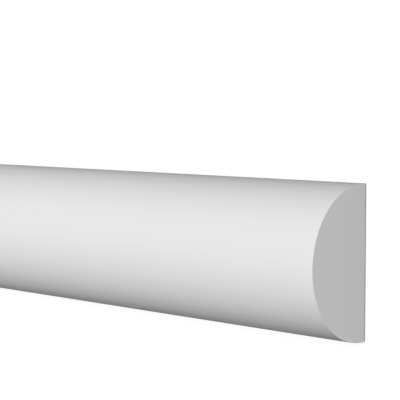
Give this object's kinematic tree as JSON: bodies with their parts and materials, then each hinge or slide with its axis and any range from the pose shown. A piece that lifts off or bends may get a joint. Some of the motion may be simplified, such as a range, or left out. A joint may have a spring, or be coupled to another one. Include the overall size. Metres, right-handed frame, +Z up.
{
  "type": "half-round wall moulding",
  "caption": "Straight half-round wall moulding with a flat back, low square returns under the curve, rounded back edges and square-cut ends.",
  "frame": {"origin": "middle of the flat back face, half way along the length", "axes": "+X along the length, +Y across the back face, +Z square out of the back face towards the crown; the length lies on its back with +Z up"},
  "size_m": [2, 0.05, 0.028],
  "materials": {
    "white_primer": "matte"
  },
  "bodies": {
    "root": {"half_round_moulding": "white_primer"}
  },
  "joints": []
}
